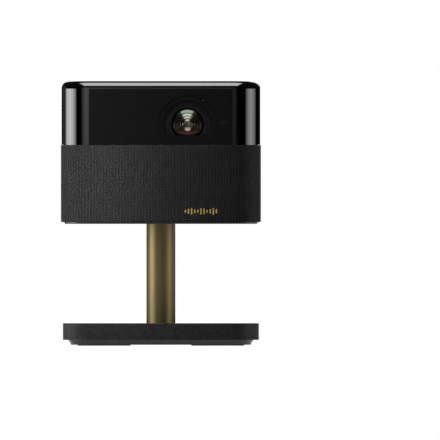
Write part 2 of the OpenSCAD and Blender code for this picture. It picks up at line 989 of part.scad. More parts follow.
// Fixed element at the back of the barrel.
module rear_lens() {
    color([0.5, 0.6, 0.6, 0.5])
    turned(lens_x, lens_z, barrel_back - rear_lens_h - 2)
        square([barrel_bore - running, rear_lens_h]);
}

// Housing of the prism and the display chip.
module optical_engine() {
    engine_depth = engine_back - engine_front;
    engine_x = lens_x - engine_w / 2;
    color("slategray")
    difference() {
        translate([engine_x, engine_front, engine_z])
            cube([engine_w, engine_depth, engine_h]);
        translate([engine_x + engine_wall, engine_front + engine_wall, engine_z + engine_wall])
            cube([engine_w - 2 * engine_wall, engine_depth - 2 * engine_wall, engine_h - 2 * engine_wall]);
        upright(lens_x, lens_z, engine_front - cut, engine_front + engine_wall + cut)
            circle(barrel_bore);
        across(engine_x - cut, engine_x + engine_wall + cut, engine_front + laser_depth / 2, lens_z,
               laser_port_r + clear);
    }
}

// Glass prism that joins the light paths.
module prism_cube() {
    color([0.6, 0.7, 0.75, 0.5])
    translate([lens_x, prism_y, lens_z])
        cube(prism_size, center = true);
}

// Display chip behind the prism.
module display_chip() {
    chip_y = prism_y + prism_size / 2 + 1;
    color("goldenrod")
    union() {
        upright(lens_x, lens_z, chip_y + 1, chip_y + 3)
            square(chip_plate, center = true);
        upright(lens_x, lens_z, chip_y, chip_y + 2)
            square(chip_face, center = true);
    }
}

// Laser light source beside the engine.
module laser_module() {
    engine_x = lens_x - engine_w / 2;
    color("darkslategray")
    union() {
        translate([engine_x - 1 - laser_w, engine_front, lens_z - laser_h / 2])
            cube([laser_w, laser_depth, laser_h]);
        across(engine_x - 2, engine_x + engine_wall, engine_front + laser_depth / 2, lens_z, laser_port_r);
    }
}

// Finned heat sink in front of the left fan.
module heat_sink() {
    sink_y = fan_y - fan_depth - sink_gap - sink_depth;
    fin_pitch = (sink_w - fin_t) / (fins - 1);
    color("gainsboro")
    translate([-fan_x - sink_w / 2, sink_y, split_z + 2])
        union() {
            cube([sink_w, sink_depth, sink_base]);
            for (i = [0 : fins - 1])
                translate([i * fin_pitch, 0, 0])
                    cube([fin_t, sink_depth, sink_h]);
        }
}

// Frames of the two fans behind the grille, each with the struts that carry its rotor.
module fan_frames() {
    frame_y = fan_y - fan_depth;
    color([0.12, 0.12, 0.12])
    for (side = [-1, 1]) {
        upright(side * fan_x, fan_z, frame_y, fan_y)
            difference() {
                rounded_plan(fan_size, fan_size, 3);
                circle(fan_bore);
            }
        upright(side * fan_x, fan_z, frame_y, frame_y + strut_h) {
            circle(fan_hub_r);
            for (turn = [45, 135])
                rotate(turn)
                    square([2 * fan_bore + 4, 3], center = true);
        }
    }
}

// Main circuit board.
module main_board() {
    color("darkgreen")
    translate([-main_board_w / 2, main_board_y, main_board_z])
        cube([main_board_w, main_board_depth, board_t]);
}

// Processor, memory and shield cans on the main board.
module board_chips() {
    // Each is its left edge, front edge, width, depth and height.
    chips = [[-50, -40, 34, 30, 3], [0, -44, 14, 20, 2], [24, -44, 14, 20, 2], [-30, 20, 40, 24, 4],
             [52, 26, 20, 20, 3.5]];
    color("dimgray")
    for (chip = chips)
        translate([chip[0], chip[1], main_board_z + board_t])
            cube([chip[2], chip[3], chip[4]]);
}

// Power board in the bottom of the head.
module power_board() {
    parts_z = power_board_z + board_t / 2;
    color("darkolivegreen")
    union() {
        translate([-power_board_w / 2, power_board_y, power_board_z])
            cube([power_board_w, power_board_depth, board_t]);
        translate([-power_board_w / 2 + transformer_x, power_board_y + transformer_y, parts_z])
            cube(transformer);
        for (i = [0 : capacitors - 1])
            translate([(2 * capacitor_r + 2) * i, power_board_y + capacitor_y, parts_z])
                cylinder(h = capacitor_h, r = capacitor_r);
    }
}

// Upright board that carries the sockets.
module io_board() {
    color("darkgreen")
    translate([port_x - rear_board_w / 2, socket_back - board_t - 2 * gap, rear_board_z])
        cube([rear_board_w, board_t, rear_board_h]);
}

// Board with the key switches, behind the keys.
module key_board() {
    board_y = panel_in - key_board_depth;
    color("darkgreen")
    union() {
        translate([key_x - key_board_w / 2, board_y, rear_board_z])
            cube([key_board_w, board_t, rear_board_h]);
        for (z = [power_z, volume_down_z, volume_up_z])
            upright(key_x, z, board_y + 1, board_y + board_t + 1)
                square(switch_size, center = true);
    }
}

// Metal shell of a rectangular socket.
module socket_shell(z, size) {
    upright(port_x, z, socket_back, panel_y - 3 * gap)
        rounded_plan(size[0], size[1], socket_corner_r);
}

// Picture input socket.
module hdmi_socket() {
    color("silver")
    difference() {
        socket_shell(hdmi_z, hdmi_size);
        upright(port_x, hdmi_z, socket_back + socket_floor, panel_y + cut)
            square(hdmi_hole, center = true);
    }
}

// Data socket.
module usb_socket() {
    color("silver")
    difference() {
        socket_shell(usb_z, usb_size);
        upright(port_x, usb_z, socket_back + socket_floor, panel_y + cut)
            square(usb_hole, center = true);
    }
}

// Socket for a 3.5 mm sound plug.
module audio_jack() {
    color([0.1, 0.1, 0.1])
    difference() {
        union() {
            upright(port_x, jack_z, socket_back, panel_in - gap)
                square(jack_body, center = true);
            upright(port_x, jack_z, panel_in - 1, panel_y - gap)
                circle(jack_nose_r);
        }
        upright(port_x, jack_z, panel_y - gap - jack_len, panel_y + cut)
            circle(jack_r);
    }
}

// Power inlet for the plug of an outside supply.
module dc_inlet() {
    color([0.08, 0.08, 0.08])
    union() {
        difference() {
            union() {
                upright(port_x, dc_z, socket_back, panel_in - gap)
                    square(dc_body, center = true);
                upright(port_x, dc_z, panel_in - 1, panel_y - gap)
                    circle(dc_nose_r);
            }
            upright(port_x, dc_z, socket_back + socket_floor, panel_y + cut)
                circle(dc_bore_r);
        }
        upright(port_x, dc_z, socket_back + socket_floor / 2, panel_y - 2)
            circle(dc_pin_r);
    }
}

// Light beside the power button.
module status_led() {
    color("white")
    upright(key_x, led_z, panel_in - led_tail, panel_y - led_sink)
        circle(led_r);
}

// Pressed metal baskets of the two side speakers.
module speaker_baskets() {
    // Inner edge of the rim, thickness of the rim, and thickness of the pressed sheet behind it.
    rim_r = cone_r + 1.4;
    rim_h = 2.5;
    sheet = 2;
    color("dimgray")
    both_sides()
        translate([speaker_face, speaker_y, speaker_z])
            rotate([0, -90, 0])
                rotate_extrude()
                    polygon([[rim_r, 0], [speaker_r, 0], [speaker_r, rim_h], [cone_r + 3, 4],
                             [magnet_r, speaker_depth], [cone_throat_r + sheet, speaker_depth],
                             [cone_throat_r + sheet, speaker_depth - sheet],
                             [magnet_r - 1, speaker_depth - sheet], [rim_r, 3]]);
}

// Magnets on the backs of the speakers.
module speaker_magnets() {
    magnet_x = speaker_face - speaker_depth - gap;
    color("gray")
    both_sides()
        across(magnet_x - magnet_h, magnet_x, speaker_y, speaker_z, magnet_r);
}

// Motor that turns the focus ring through its pinion.
module focus_motor() {
    color("silver")
    difference() {
        union() {
            turned(pinion_x, lens_z, motor_y)
                square([motor_r, motor_h - 1]);
            upright(pinion_x, lens_z, motor_y, motor_y + motor_ear_t)
                rounded_plan(2 * motor_r, 2 * (motor_r + motor_ear), 3);
        }
        turned(pinion_x, lens_z, motor_y - cut)
            square([pinion_shaft_r + running, pinion_shaft_len + cut]);
    }
}

// Impeller of one fan.
module fan_rotor(x) {
    rotor_y = fan_y - fan_depth + strut_h + 2 * gap;
    rotor_h = fan_depth - strut_h - 2;
    blade_len = fan_tip_r - fan_hub_r + 2;
    translate([x, rotor_y, fan_z])
        rotate([-90, 0, 0])
            union() {
                cylinder(h = rotor_h, r = fan_hub_r);
                intersection() {
                    cylinder(h = rotor_h, r = fan_tip_r);
                    for (i = [0 : fan_blades - 1])
                        rotate(i * 360 / fan_blades)
                            translate([fan_hub_r - 1 + blade_len / 2, 0, rotor_h / 2])
                                rotate([blade_pitch, 0, 0])
                                    cube([blade_len, blade_t, 2 * rotor_h], center = true);
                }
            }
}

module fan_rotor_left() {
    color([0.16, 0.16, 0.16])
    fan_rotor(-fan_x);
}

module fan_rotor_right() {
    color([0.16, 0.16, 0.16])
    fan_rotor(fan_x);
}

// The angle of an involute at radius r on base circle base_r, in degrees.
function involute_angle(base_r, r) =
    let (t = sqrt(max(0, r * r / (base_r * base_r) - 1))) t * 180 / PI - atan(t);

// A point at radius r and angle a.
function polar(r, a) = [r * cos(a), r * sin(a)];

// Outline of an involute gear.
module gear_outline(teeth) {
    pitch_r = gear_module * teeth / 2;
    base_circle = pitch_r * cos(pressure_angle);
    // Tooth depth below and above the pitch circle, in modules, and the root's flare in degrees.
    dedendum = 1.2;
    addendum = 0.85;
    flare = 0.1;
    root_r = pitch_r - dedendum * gear_module;
    tip_r = pitch_r + addendum * gear_module;
    start_r = max(base_circle, root_r);
    steps = 3;
    half = 90 / teeth - gear_backlash / 2 * 180 / (PI * pitch_r) + involute_angle(base_circle, pitch_r);
    radii = [for (i = [0 : steps]) start_r + (tip_r - start_r) * i / steps];
    polygon([for (tooth = [0 : teeth - 1]) let (mid = tooth * 360 / teeth) each concat(
        [polar(root_r, mid - half - flare)],
        [for (i = [0 : steps]) polar(radii[i], mid - half + involute_angle(base_circle, radii[i]))],
        [for (i = [steps : -1 : 0]) polar(radii[i], mid + half - involute_angle(base_circle, radii[i]))],
        [polar(root_r, mid + half + flare)])]);
}

// Toothed ring that turns on the barrel.
module focus_ring() {
    color("goldenrod")
    difference() {
        upright(lens_x, lens_z, gear_y - gear_h, gear_y)
            gear_outline(ring_teeth);
        turned(lens_x, lens_z, gear_y - gear_h - cut)
            square([ring_bore, gear_h + 2 * cut]);
    }
}

// Pinion on the focus motor's shaft. It is turned by half a tooth, so that it meshes at rest.
module focus_pinion() {
    color("white")
    union() {
        upright(pinion_x, lens_z, gear_y - gear_h - 1, gear_y + 1)
            rotate(180 + 180 / pinion_teeth)
                gear_outline(pinion_teeth);
        turned(pinion_x, lens_z, gear_y)
            square([pinion_shaft_r, pinion_shaft_len]);
    }
}

// Cell that carries the focusing lens along the barrel.
module focus_cell() {
    color([0.2, 0.2, 0.2])
    difference() {
        turned(lens_x, lens_z, cell_y - cell_h)
            square([cell_r, cell_h]);
        turned(lens_x, lens_z, cell_y - cell_h - cut)
            square([cell_bore, cell_h + 2 * cut]);
    }
}

// Focusing lens, curved on both faces.
module focus_lens() {
    color([0.5, 0.6, 0.6, 0.5])
    intersection() {
        turned(lens_x, lens_z, cell_y - cell_h + 1)
            square([cell_bore - running / 2, cell_h - 2]);
        translate([lens_x, cell_y - cell_h + 1 + focus_curve, lens_z])
            sphere(focus_curve);
        translate([lens_x, cell_y - 1 - focus_curve, lens_z])
            sphere(focus_curve);
    }
}

// A key on the rear panel, with the flange that keeps it in. Its child is the key's outline.
module panel_key(z, flange_w, flange_h) {
    flange_back = panel_in - gap;
    upright(key_x, z, flange_back - key_flange, panel_y + key_proud)
        children();
    upright(key_x, z, flange_back - key_flange, flange_back)
        rounded_plan(flange_w, flange_h, 2);
}

// Round power button.
module power_button() {
    color([0.15, 0.15, 0.15])
    panel_key(power_z, 2 * power_r + 3, 2 * power_r + 3)
        circle(power_r);
}

module volume_down_key() {
    color([0.15, 0.15, 0.15])
    panel_key(volume_down_z, volume_size[0] + 3, volume_size[1] + 3)
        round_slot(volume_size[0], volume_size[1]);
}

module volume_up_key() {
    color([0.15, 0.15, 0.15])
    panel_key(volume_up_z, volume_size[0] + 3, volume_size[1] + 3)
        round_slot(volume_size[0], volume_size[1]);
}

// Cone, dust cap and coil former of the right speaker.
module speaker_cone() {
    translate([speaker_face - 2, speaker_y, speaker_z])
        rotate([0, -90, 0])
            rotate_extrude()
                polygon([[0, cone_depth - dust_cap_h], [cone_throat_r - 2, cone_depth - 2],
                         [cone_throat_r, cone_depth], [cone_r, 0], [cone_r, cone_t],
                         [cone_throat_r, cone_depth + cone_t], [cone_throat_r, cone_depth + coil_len],
                         [cone_throat_r - cone_t, cone_depth + coil_len],
                         [cone_throat_r - cone_t, cone_depth], [0, cone_depth - dust_cap_h + cone_t]]);
}

module speaker_cone_left() {
    color([0.25, 0.25, 0.27])
    mirror([1, 0, 0])
        speaker_cone();
}

module speaker_cone_right() {
    color([0.25, 0.25, 0.27])
    speaker_cone();
}

base_cover();
base_ballast();
base_plate();
feet();
base_screws();
swivel_bush();
column_tube();
column_spigot();
swivel_retainer();
hinge_knuckle();
tilt_shaft();
friction_washers();
shaft_nuts();
upper_shell();
front_window();
lens_bezel();
front_glass();
sensor_window();
sensor_module();
fabric_sleeve();
accent_badge();
lower_frame();
bottom_cover();
bottom_screws();
hinge_pocket();
tilt_brackets();
rear_panel();
rear_grille();
lens_barrel();
rear_lens();
optical_engine();
prism_cube();
display_chip();
laser_module();
heat_sink();
fan_frames();
main_board();
board_chips();
power_board();
io_board();
key_board();
hdmi_socket();
usb_socket();
audio_jack();
dc_inlet();
status_led();
speaker_baskets();
speaker_magnets();
focus_motor();
fan_rotor_left();
fan_rotor_right();
focus_ring();
focus_pinion();
focus_cell();
focus_lens();
power_button();
volume_down_key();
volume_up_key();
speaker_cone_left();
speaker_cone_right();
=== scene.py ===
import json
import math

import bpy
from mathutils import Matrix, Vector


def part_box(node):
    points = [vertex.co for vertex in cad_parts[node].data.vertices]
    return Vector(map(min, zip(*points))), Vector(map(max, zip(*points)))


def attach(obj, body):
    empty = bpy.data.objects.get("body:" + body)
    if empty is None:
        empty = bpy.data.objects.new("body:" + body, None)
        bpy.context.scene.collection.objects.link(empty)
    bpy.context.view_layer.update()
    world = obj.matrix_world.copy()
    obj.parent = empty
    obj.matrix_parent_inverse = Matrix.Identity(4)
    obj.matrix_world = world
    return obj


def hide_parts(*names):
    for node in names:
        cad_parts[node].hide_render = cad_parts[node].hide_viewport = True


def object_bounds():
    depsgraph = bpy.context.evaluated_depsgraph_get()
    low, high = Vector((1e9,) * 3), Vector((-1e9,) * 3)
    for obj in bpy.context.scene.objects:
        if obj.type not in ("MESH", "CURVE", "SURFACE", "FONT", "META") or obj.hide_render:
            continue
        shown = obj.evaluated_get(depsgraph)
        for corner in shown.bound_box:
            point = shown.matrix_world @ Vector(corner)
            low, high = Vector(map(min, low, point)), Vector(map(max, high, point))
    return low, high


# Looks for the home projector on a pole stand. Metres, in the CAD's frame: +Z up, the lens looks along -Y.
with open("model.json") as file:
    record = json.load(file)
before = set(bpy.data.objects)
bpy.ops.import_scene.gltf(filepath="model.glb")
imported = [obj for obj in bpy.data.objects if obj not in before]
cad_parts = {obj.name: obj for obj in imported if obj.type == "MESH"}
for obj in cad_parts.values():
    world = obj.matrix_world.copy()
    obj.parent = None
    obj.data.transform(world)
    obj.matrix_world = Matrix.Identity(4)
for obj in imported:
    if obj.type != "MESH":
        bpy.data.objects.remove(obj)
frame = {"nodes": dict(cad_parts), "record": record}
cad_low, cad_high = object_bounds()

MM = 0.001


def face_middle(low, high):
    """(x, z) of the middle of a box, as seen from the front or the back."""
    return (low.x + high.x) / 2, (low.z + high.z) / 2


def grey(level):
    """A colour with three equal channels."""
    return (level, level, level)


def set_stops(ramp, stops):
    """Fills a new colour ramp from (place, (r, g, b)) stops. The first two use the stops it starts with."""
    elements = ramp.color_ramp.elements
    for i, (place, colour) in enumerate(stops):
        stop = elements[i] if i < 2 else elements.new(place)
        stop.position, stop.color = place, (*colour, 1)


# Places that the looks are built from, read from the frame.
sleeve_low, sleeve_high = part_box("fabric_sleeve")
_, panel_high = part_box("rear_panel")
glass_low, glass_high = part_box("front_glass")
lens_x, lens_z = face_middle(glass_low, glass_high)


# ---------------------------------------------------------------- camera, lights and floor

# The photograph's side in pixels, the real size that a pixel covers, where the middle of its view is, and how
# far in front of the origin the camera stands
PHOTO_SIDE = 440
MM_PER_PIXEL = 1.0
VIEW_MIDDLE_X = 59.1 * MM
VIEW_MIDDLE_Z = 125.7 * MM
CAMERA_DISTANCE = 2.0

# Grey of the room from the horizon (0) to straight up (1). Below the horizon it keeps its lowest grey.
ROOM_GREYS = ((0.0, 0.005), (1.0, 0.06), (0.12, 0.01), (0.45, 0.035))

# Brightness of the cards from one end (0) to the other (1), as shares of their radiance. The ends come first.
# Across runs front to back on the side cards and left to right on the others. Up runs back on the top card.
EVEN = ((0.0, 0.15), (1.0, 0.15), (0.15, 1.0), (0.85, 1.0))
RISING = ((0.0, 0.3), (1.0, 0.3), (0.2, 1.0), (0.92, 1.0))
LEFT_ACROSS = ((0.0, 0.06), (1.0, 0.04), (0.12, 0.42), (0.38, 0.87), (0.54, 1.0), (0.72, 0.75), (0.93, 0.36))
RIGHT_ACROSS = ((0.0, 0.05), (1.0, 0.02), (0.14, 0.45), (0.4, 0.95), (0.52, 1.0), (0.75, 0.6), (0.92, 0.25))
TOP_ACROSS = ((0.0, 0.1), (1.0, 0.1), (0.15, 0.9), (0.85, 0.9))
TOP_UP = ((0.0, 0.7), (1.0, 0.1), (0.12, 0.9), (0.5, 1.0), (0.8, 0.85))
FRONT_ACROSS = ((0.0, 0.15), (1.0, 0.05), (0.33, 1.0), (0.7, 0.35))
FRONT_UP = ((0.0, 0.6), (1.0, 0.1), (0.55, 1.0), (0.8, 0.35))

# The side cards stop a little above the head, so that its flat top hardly mirrors them from a low angle.
SIDE_CARD_LOW = 20 * MM
SIDE_CARD_HIGH = cad_high.z + 15 * MM

# Half the floor's side, and the gap that keeps it clear of the feet
FLOOR_HALF = 12.0
FLOOR_GAP = 0.1 * MM


def add_camera():
    """A level view square to the front, with the object left of the middle as in the photograph."""
    data = bpy.data.cameras.new("camera")
    data.type = "ORTHO"
    data.ortho_scale = PHOTO_SIDE * MM_PER_PIXEL * MM
    camera = bpy.data.objects.new("camera", data)
    bpy.context.scene.collection.objects.link(camera)
    camera.location = (VIEW_MIDDLE_X, -CAMERA_DISTANCE, VIEW_MIDDLE_Z)
    camera.rotation_euler = (math.pi / 2, 0, 0)
    bpy.context.scene.camera = camera


def add_world():
    """White to the camera. Everything else sees a dim room that brightens overhead."""
    world = bpy.data.worlds.new("studio")
    bpy.context.scene.world = world
    world.use_nodes = True
    tree = world.node_tree
    tree.nodes.clear()
    coords = tree.nodes.new("ShaderNodeTexCoord")
    split = tree.nodes.new("ShaderNodeSeparateXYZ")
    tree.links.new(coords.outputs["Generated"], split.inputs[0])
    fade = tree.nodes.new("ShaderNodeValToRGB")
    set_stops(fade, [(place, grey(level)) for place, level in ROOM_GREYS])
    tree.links.new(split.outputs["Z"], fade.inputs["Fac"])
    room = tree.nodes.new("ShaderNodeBackground")
    tree.links.new(fade.outputs["Color"], room.inputs["Color"])
    white = tree.nodes.new("ShaderNodeBackground")
    white.inputs["Color"].default_value = (1, 1, 1, 1)
    path = tree.nodes.new("ShaderNodeLightPath")
    mix = tree.nodes.new("ShaderNodeMixShader")
    out = tree.nodes.new("ShaderNodeOutputWorld")
    tree.links.new(path.outputs["Is Camera Ray"], mix.inputs["Fac"])
    tree.links.new(room.outputs[0], mix.inputs[1])
    tree.links.new(white.outputs[0], mix.inputs[2])
    tree.links.new(mix.outputs[0], out.inputs["Surface"])


def add_softbox(name, centre, across, up, radiance, profile_across, profile_up, mirrored=True, lights=False):
    """A glowing card that the camera can't see. across and up run from its centre to its edges.

    A mirrored card shows in reflections, and one that lights also lights matt surfaces.
    """
    centre, across, up = Vector(centre), Vector(across), Vector(up)
    corners = [centre - across - up, centre + across - up, centre + across + up, centre - across + up]
    mesh = bpy.data.meshes.new(name)
    mesh.from_pydata([tuple(c) for c in corners], [], [(0, 1, 2, 3)])
    layer = mesh.uv_layers.new(name="card")
    for loop, uv in zip(layer.data, ((0, 0), (1, 0), (1, 1), (0, 1))):
        loop.uv = uv
    card = bpy.data.objects.new(name, mesh)
    bpy.context.scene.collection.objects.link(card)
    mat = bpy.data.materials.new(name)
    mat.use_nodes = True
    tree = mat.node_tree
    tree.nodes.clear()
    uv_map = tree.nodes.new("ShaderNodeUVMap")
    uv_map.uv_map = "card"
    split = tree.nodes.new("ShaderNodeSeparateXYZ")
    tree.links.new(uv_map.outputs[0], split.inputs[0])
    shares = []
    for axis, profile in (("X", profile_across), ("Y", profile_up)):
        ramp = tree.nodes.new("ShaderNodeValToRGB")
        ramp.color_ramp.interpolation = "EASE"
        set_stops(ramp, [(place, grey(share)) for place, share in profile])
        tree.links.new(split.outputs[axis], ramp.inputs["Fac"])
        shares.append(ramp)
    product = tree.nodes.new("ShaderNodeMath")
    product.operation = "MULTIPLY"
    tree.links.new(shares[0].outputs["Color"], product.inputs[0])
    tree.links.new(shares[1].outputs["Color"], product.inputs[1])
    strength = tree.nodes.new("ShaderNodeMath")
    strength.operation = "MULTIPLY"
    strength.inputs[1].default_value = radiance
    tree.links.new(product.outputs[0], strength.inputs[0])
    glow = tree.nodes.new("ShaderNodeEmission")
    tree.links.new(strength.outputs[0], glow.inputs["Strength"])
    out = tree.nodes.new("ShaderNodeOutputMaterial")
    tree.links.new(glow.outputs[0], out.inputs["Surface"])
    mesh.materials.append(mat)
    card.visible_camera = False
    card.visible_shadow = False
    card.visible_glossy = mirrored
    card.visible_diffuse = lights


def add_lights():
    """Cards for gloss to mirror at the sides, overhead, in front and behind, and fills for matt surfaces."""
    side_z, side_half = (SIDE_CARD_LOW + SIDE_CARD_HIGH) / 2, (SIDE_CARD_HIGH - SIDE_CARD_LOW) / 2
    add_softbox("softbox_left", centre=(-0.43, -0.128, side_z), across=(0, 0.218, 0), up=(0, 0, side_half),
                radiance=10.5, profile_across=LEFT_ACROSS, profile_up=RISING)
    add_softbox("softbox_right", centre=(0.43, -0.143, side_z), across=(0, 0.203, 0), up=(0, 0, side_half),
                radiance=4.7, profile_across=RIGHT_ACROSS, profile_up=RISING)
    add_softbox("softbox_top", centre=(0, -0.352, 0.84), across=(0.36, 0, 0), up=(0, 0.37, 0.01),
                radiance=12.2, profile_across=TOP_ACROSS, profile_up=TOP_UP)
    add_softbox("card_front", centre=(-0.075, -0.62, 0.29), across=(0.325, 0, 0), up=(0, 0, 0.27),
                radiance=1.5, profile_across=FRONT_ACROSS, profile_up=FRONT_UP)
    add_softbox("softbox_rear", centre=(0.1, 0.75, 0.66), across=(0.42, 0, 0), up=(0, 0, 0.3),
                radiance=3.0, profile_across=EVEN, profile_up=EVEN, lights=True)
    add_softbox("glow_rear_left", centre=(-0.75, 0.42, 0.25), across=(0.12, 0.3, 0), up=(0, 0, 0.3),
                radiance=0.16, profile_across=EVEN, profile_up=EVEN)
    add_softbox("fill_front", centre=(-0.073, -0.185, 0.2), across=(0.012, 0, 0), up=(0, 0, 0.17),
                radiance=7.0, profile_across=EVEN, profile_up=RISING, mirrored=False, lights=True)
    add_softbox("fill_left", centre=(-0.7, -0.12, 0.42), across=(0, 0.2, 0), up=(0, 0, 0.25),
                radiance=1.15, profile_across=EVEN, profile_up=EVEN, mirrored=False, lights=True)
    add_softbox("fill_right", centre=(0.8, -0.35, 0.5), across=(0, 0.4, 0), up=(0, 0, 0.25),
                radiance=0.6, profile_across=EVEN, profile_up=EVEN, mirrored=False, lights=True)


def add_floor():
    """A pale floor: nearly as bright as the background to the camera and in gloss, but dim to matt parts."""
    mesh = bpy.data.meshes.new("floor")
    corners = [(x * FLOOR_HALF, y * FLOOR_HALF, 0) for x, y in ((-1, -1), (1, -1), (1, 1), (-1, 1))]
    mesh.from_pydata(corners, [], [(0, 1, 2, 3)])
    floor = bpy.data.objects.new("floor", mesh)
    floor.location.z = cad_low.z - FLOOR_GAP
    bpy.context.scene.collection.objects.link(floor)
    mat = bpy.data.materials.new("floor")
    mat.use_nodes = True
    tree = mat.node_tree
    tree.nodes.clear()
    dim = tree.nodes.new("ShaderNodeBsdfDiffuse")
    dim.inputs["Color"].default_value = (*grey(0.12), 1)
    paint = tree.nodes.new("ShaderNodeBsdfDiffuse")
    paint.inputs["Color"].default_value = (*grey(0.09), 1)
    glow = tree.nodes.new("ShaderNodeEmission")
    glow.inputs["Strength"].default_value = 0.86
    bright = tree.nodes.new("ShaderNodeAddShader")
    path = tree.nodes.new("ShaderNodeLightPath")
    mix = tree.nodes.new("ShaderNodeMixShader")
    out = tree.nodes.new("ShaderNodeOutputMaterial")
    tree.links.new(paint.outputs[0], bright.inputs[0])
    tree.links.new(glow.outputs[0], bright.inputs[1])
    tree.links.new(path.outputs["Is Diffuse Ray"], mix.inputs["Fac"])
    tree.links.new(bright.outputs[0], mix.inputs[1])
    tree.links.new(dim.outputs[0], mix.inputs[2])
    tree.links.new(mix.outputs[0], out.inputs["Surface"])
    mesh.materials.append(mat)


# ---------------------------------------------------------------- material building

class Look:
    """A Principled material, with short ways to add the textures that drive it."""

    def __init__(self, name, **values):
        self.mat = bpy.data.materials.new(name)
        self.mat.use_nodes = True
        self.tree = self.mat.node_tree
        self.bsdf = self.tree.nodes["Principled BSDF"]
        self.coords = self.tree.nodes.new("ShaderNodeTexCoord")
        self.set(**values)

    def set(self, **values):
        """Sets sockets of the shader: base_color=(r, g, b), roughness=0.5 and so on."""
        for key, value in values.items():
            socket = self.bsdf.inputs[key.replace("_", " ").title().replace("Ior", "IOR")]
            if isinstance(value, tuple):
                value = (*value, 1)
            socket.default_value = value

    def link(self, source, target):
        self.tree.links.new(source, target)

    def add(self, kind, **values):
        node = self.tree.nodes.new(kind)
        for key, value in values.items():
            setattr(node, key, value)
        return node

    def place(self, stretch=(1, 1, 1)):
        """Coordinates of the surface, stretched along each axis."""
        node = self.add("ShaderNodeMapping")
        node.inputs["Scale"].default_value = stretch
        self.link(self.coords.outputs["Object"], node.inputs["Vector"])
        return node.outputs["Vector"]

    def noise(self, scale, detail=3.0, roughness=0.5, stretch=(1, 1, 1)):
        node = self.add("ShaderNodeTexNoise")
        node.inputs["Scale"].default_value = scale
        node.inputs["Detail"].default_value = detail
        node.inputs["Roughness"].default_value = roughness
        self.link(self.place(stretch), node.inputs["Vector"])
        return node.outputs["Fac"]

    def cells(self, scale, stretch=(1, 1, 1), feature="F1"):
        node = self.add("ShaderNodeTexVoronoi", feature=feature)
        node.inputs["Scale"].default_value = scale
        self.link(self.place(stretch), node.inputs["Vector"])
        return node.outputs["Distance"]

    def math(self, operation, a, b=None):
        node = self.add("ShaderNodeMath", operation=operation)
        for socket, value in zip(node.inputs, (a, b)):
            if isinstance(value, (int, float)):
                socket.default_value = value
            elif value is not None:
                self.link(value, socket)
        return node.outputs[0]

    def span(self, source, low, high, from_low=0.3, from_high=0.7):
        """Maps a texture value to a range, for roughness and the like."""
        node = self.add("ShaderNodeMapRange")
        ends = (("From Min", from_low), ("From Max", from_high), ("To Min", low), ("To Max", high))
        for key, value in ends:
            node.inputs[key].default_value = value
        self.link(source, node.inputs["Value"])
        return node.outputs["Result"]

    def ramp(self, source, *stops):
        """A colour ramp of (place, (r, g, b)) stops."""
        node = self.add("ShaderNodeValToRGB")
        set_stops(node, stops)
        self.link(source, node.inputs["Fac"])
        return node.outputs["Color"]

    def colour(self, source):
        self.link(source, self.bsdf.inputs["Base Color"])

    def rough(self, source):
        self.link(source, self.bsdf.inputs["Roughness"])

    def bump(self, height, strength, depth):
        """Bump of a depth in metres. A second call adds to the first."""
        node = self.add("ShaderNodeBump")
        node.inputs["Strength"].default_value = strength
        node.inputs["Distance"].default_value = depth
        self.link(height, node.inputs["Height"])
        normal = self.bsdf.inputs["Normal"]
        if normal.links:
            self.link(normal.links[0].from_socket, node.inputs["Normal"])
        self.link(node.outputs[0], normal)


def shade(colour, factor):
    """A colour made darker or lighter."""
    return tuple(c * factor for c in colour)


def grained(name, colour, roughness, grain=900, depth=0.04, spread=0.3, streak=(1, 1, 1), **values):
    """Moulded, cast or machined material: mottled colour, uneven gloss and a fine grain."""
    look = Look(name, **values)
    mottle = look.noise(40, 4)
    fine = look.noise(grain, 3, 0.6, streak)
    tone = look.math("ADD", look.math("MULTIPLY", mottle, 0.5), look.math("MULTIPLY", fine, 0.5))
    look.colour(look.ramp(tone, (0.35, shade(colour, 1 - spread)), (0.65, shade(colour, 1 + spread))))
    look.rough(look.span(mottle, roughness - 0.06, roughness + 0.06))
    look.bump(fine, 0.5, depth * MM)
    return look.mat


# ---------------------------------------------------------------- materials

def gloss_black():
    """Polished black shell: mirror-like, with a breath of haze and a trace of waviness."""
    look = Look("gloss_black", IOR=1.5)
    haze = look.noise(22, 5, 0.6)
    look.colour(look.ramp(look.noise(9, 2), (0.3, (0.0004, 0.0004, 0.0005)), (0.7, (0.0009, 0.0009, 0.001))))
    look.rough(look.span(haze, 0.015, 0.045))
    look.bump(look.noise(55, 2), 0.05, 0.02 * MM)
    return look.mat


def window_black():
    """Satin front window: a soft, low sheen over deep black."""
    look = Look("window_black", IOR=1.45, specular_ior_level=0.14)
    look.colour(look.ramp(look.noise(30, 3), (0.3, grey(0.0008)), (0.7, grey(0.0015))))
    look.rough(look.span(look.noise(70, 4), 0.26, 0.34))
    look.bump(look.noise(3200, 2), 0.12, 0.02 * MM)
    return look.mat


# Depth behind the bezel's front over which its colour changes
BEZEL_FADE = 4.5 * MM


def bezel_black():
    """Matt black of the lens surround, a little paler on the inner step."""
    look = Look("bezel_black", specular_ior_level=0.1)
    depth = look.add("ShaderNodeSeparateXYZ")
    look.link(look.coords.outputs["Object"], depth.inputs[0])
    bezel_low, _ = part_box("lens_bezel")
    inward = look.span(depth.outputs["Y"], 0.0, 1.0, bezel_low.y, bezel_low.y + BEZEL_FADE)
    look.colour(look.ramp(inward, (0.0, grey(0.0002)), (0.5, grey(0.0003)),
                          (0.75, grey(0.0075)), (1.0, grey(0.0075))))
    look.rough(look.span(look.noise(300, 3), 0.45, 0.6))
    look.bump(look.noise(2600, 2), 0.3, 0.02 * MM)
    return look.mat


# Distance between the cloth's upright ribs, and the height that two rows of its knots take up
WALE_PITCH = 3.1 * MM
COURSE_PITCH = 2.8 * MM


